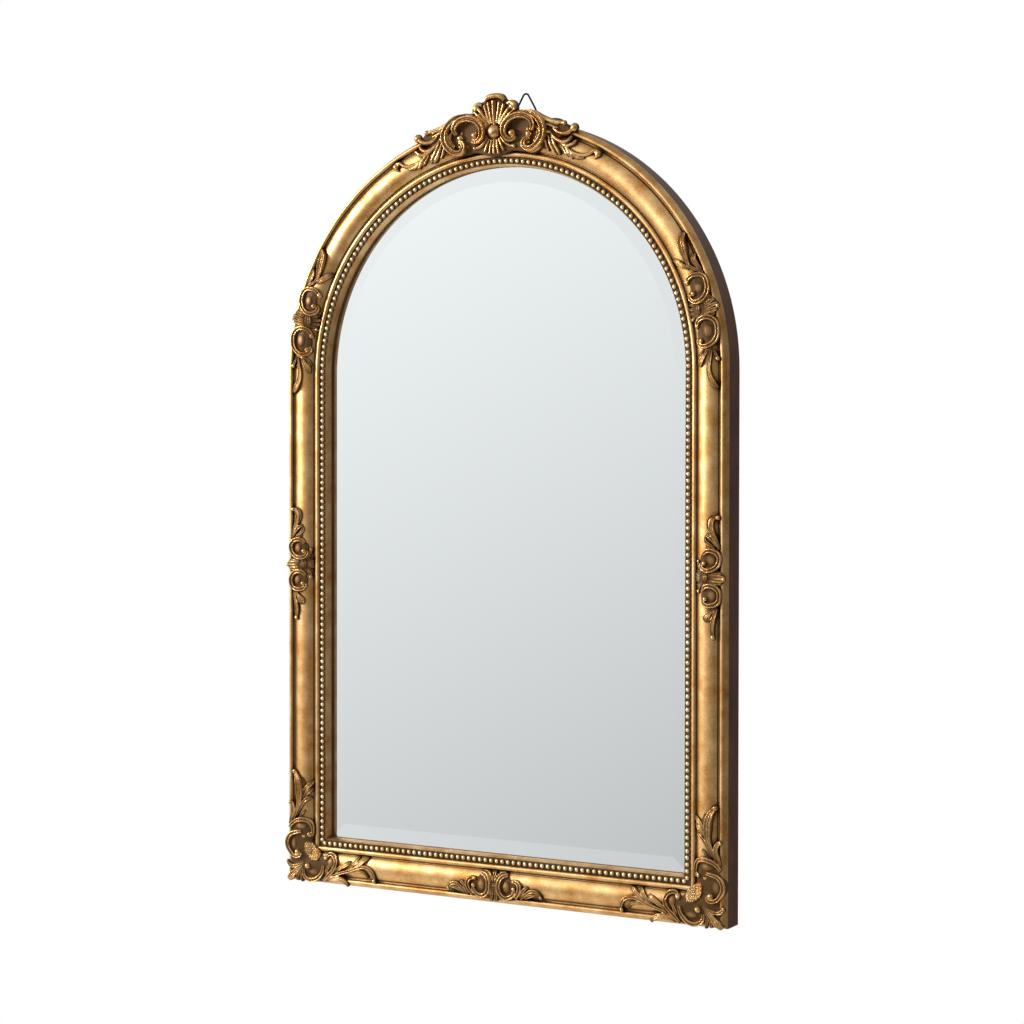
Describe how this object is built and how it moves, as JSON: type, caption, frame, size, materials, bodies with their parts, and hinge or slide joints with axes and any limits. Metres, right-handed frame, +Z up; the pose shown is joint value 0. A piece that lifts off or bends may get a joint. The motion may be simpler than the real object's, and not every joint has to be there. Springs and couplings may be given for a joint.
{
  "type": "arched mirror",
  "caption": "Arched wall mirror with a bevelled glass in a gilt moulding with pearls, leaf and scroll ornaments, on a dark wooden carcass with triangular hanger rings.",
  "frame": {"origin": "on the wall plane, midway between the two hanger rings, at the height where the hooks bear", "axes": "+X to the right as seen from the front, +Y into the wall, +Z up; the mirror faces -Y"},
  "size_m": [0.607, 0.0529, 0.9675],
  "materials": {
    "gilt_moulding": "gilded and burnished, brown patina in the hollows",
    "gilt_ornament": "cast resin, gilded, brown patina in the hollows",
    "brown_wood": "satin dark brown paint",
    "bare_wood": "bare beech",
    "hardboard": "brown fibre board",
    "silvered_glass": "polished and bevelled",
    "grey_card": "soft grey board",
    "black_rubber": "matt",
    "felt": "pressed felt",
    "dark_steel": "blued wire",
    "zinc_steel": "zinc plated"
  },
  "bodies": {
    "frame": {"carcass_stile_left": "brown_wood", "carcass_stile_right": "brown_wood", "carcass_arch_left": "brown_wood", "carcass_arch_right": "brown_wood", "carcass_bottom_rail": "brown_wood", "joint_dowels": "bare_wood", "moulding_left": "gilt_moulding", "moulding_right": "gilt_moulding", "moulding_arch_left": "gilt_moulding", "moulding_arch_right": "gilt_moulding", "moulding_bottom": "gilt_moulding", "pearl_strip_left": "gilt_moulding", "pearl_strip_right": "gilt_moulding", "pearl_strip_arch_left": "gilt_moulding", "pearl_strip_arch_right": "gilt_moulding", "pearl_strip_bottom": "gilt_moulding", "crest_ornament": "gilt_ornament", "shoulder_ornament_left": "gilt_ornament", "shoulder_ornament_right": "gilt_ornament", "side_ornament_left": "gilt_ornament", "side_ornament_right": "gilt_ornament", "corner_ornament_left": "gilt_ornament", "corner_ornament_right": "gilt_ornament", "bottom_ornament": "gilt_ornament", "mirror_plate": "silvered_glass", "glass_cushion": "grey_card", "back_board": "hardboard", "setting_blocks": "black_rubber", "hanger_strap_left": "zinc_steel", "hanger_strap_right": "zinc_steel", "strap_screws": "zinc_steel", "turn_button_screws": "zinc_steel", "wall_bumpers": "felt"},
    "hanger_ring_left": {"hanger_ring_left": "dark_steel"},
    "hanger_ring_right": {"hanger_ring_right": "dark_steel"},
    "turn_button_low_left": {"turn_button_low_left": "zinc_steel"},
    "turn_button_low_right": {"turn_button_low_right": "zinc_steel"},
    "turn_button_high_left": {"turn_button_high_left": "zinc_steel"},
    "turn_button_high_right": {"turn_button_high_right": "zinc_steel"},
    "turn_button_bottom_left": {"turn_button_bottom_left": "zinc_steel"},
    "turn_button_bottom_right": {"turn_button_bottom_right": "zinc_steel"},
    "turn_button_arch_left": {"turn_button_arch_left": "zinc_steel"},
    "turn_button_arch_right": {"turn_button_arch_right": "zinc_steel"}
  },
  "joints": [
    {"name": "hanger_ring_left_hinge", "type": "hinge", "parent": "frame", "child": "hanger_ring_left", "pos_m": [-0.0205, -0.00277, -0.02343], "axis": [-1, 0, 0], "range_deg": [0, 180]},
    {"name": "hanger_ring_right_hinge", "type": "hinge", "parent": "frame", "child": "hanger_ring_right", "pos_m": [0.0205, -0.00277, -0.02343], "axis": [-1, 0, 0], "range_deg": [0, 180]},
    {"name": "turn_button_low_left_pivot", "type": "hinge", "parent": "frame", "child": "turn_button_low_left", "pos_m": [-0.259, -0.004, -0.8137], "axis": [0, 1, 0], "continuous": true},
    {"name": "turn_button_low_right_pivot", "type": "hinge", "parent": "frame", "child": "turn_button_low_right", "pos_m": [0.259, -0.004, -0.8137], "axis": [0, 1, 0], "continuous": true},
    {"name": "turn_button_high_left_pivot", "type": "hinge", "parent": "frame", "child": "turn_button_high_left", "pos_m": [-0.259, -0.004, -0.4837], "axis": [0, 1, 0], "continuous": true},
    {"name": "turn_button_high_right_pivot", "type": "hinge", "parent": "frame", "child": "turn_button_high_right", "pos_m": [0.259, -0.004, -0.4837], "axis": [0, 1, 0], "continuous": true},
    {"name": "turn_button_bottom_left_pivot", "type": "hinge", "parent": "frame", "child": "turn_button_bottom_left", "pos_m": [-0.13, -0.004, -0.9227], "axis": [0, 1, 0], "continuous": true},
    {"name": "turn_button_bottom_right_pivot", "type": "hinge", "parent": "frame", "child": "turn_button_bottom_right", "pos_m": [0.13, -0.004, -0.9227], "axis": [0, 1, 0], "continuous": true},
    {"name": "turn_button_arch_left_pivot", "type": "hinge", "parent": "frame", "child": "turn_button_arch_left", "pos_m": [-0.18314, -0.004, -0.14806], "axis": [0, 1, 0], "continuous": true},
    {"name": "turn_button_arch_right_pivot", "type": "hinge", "parent": "frame", "child": "turn_button_arch_right", "pos_m": [0.18314, -0.004, -0.14806], "axis": [0, 1, 0], "continuous": true}
  ]
}
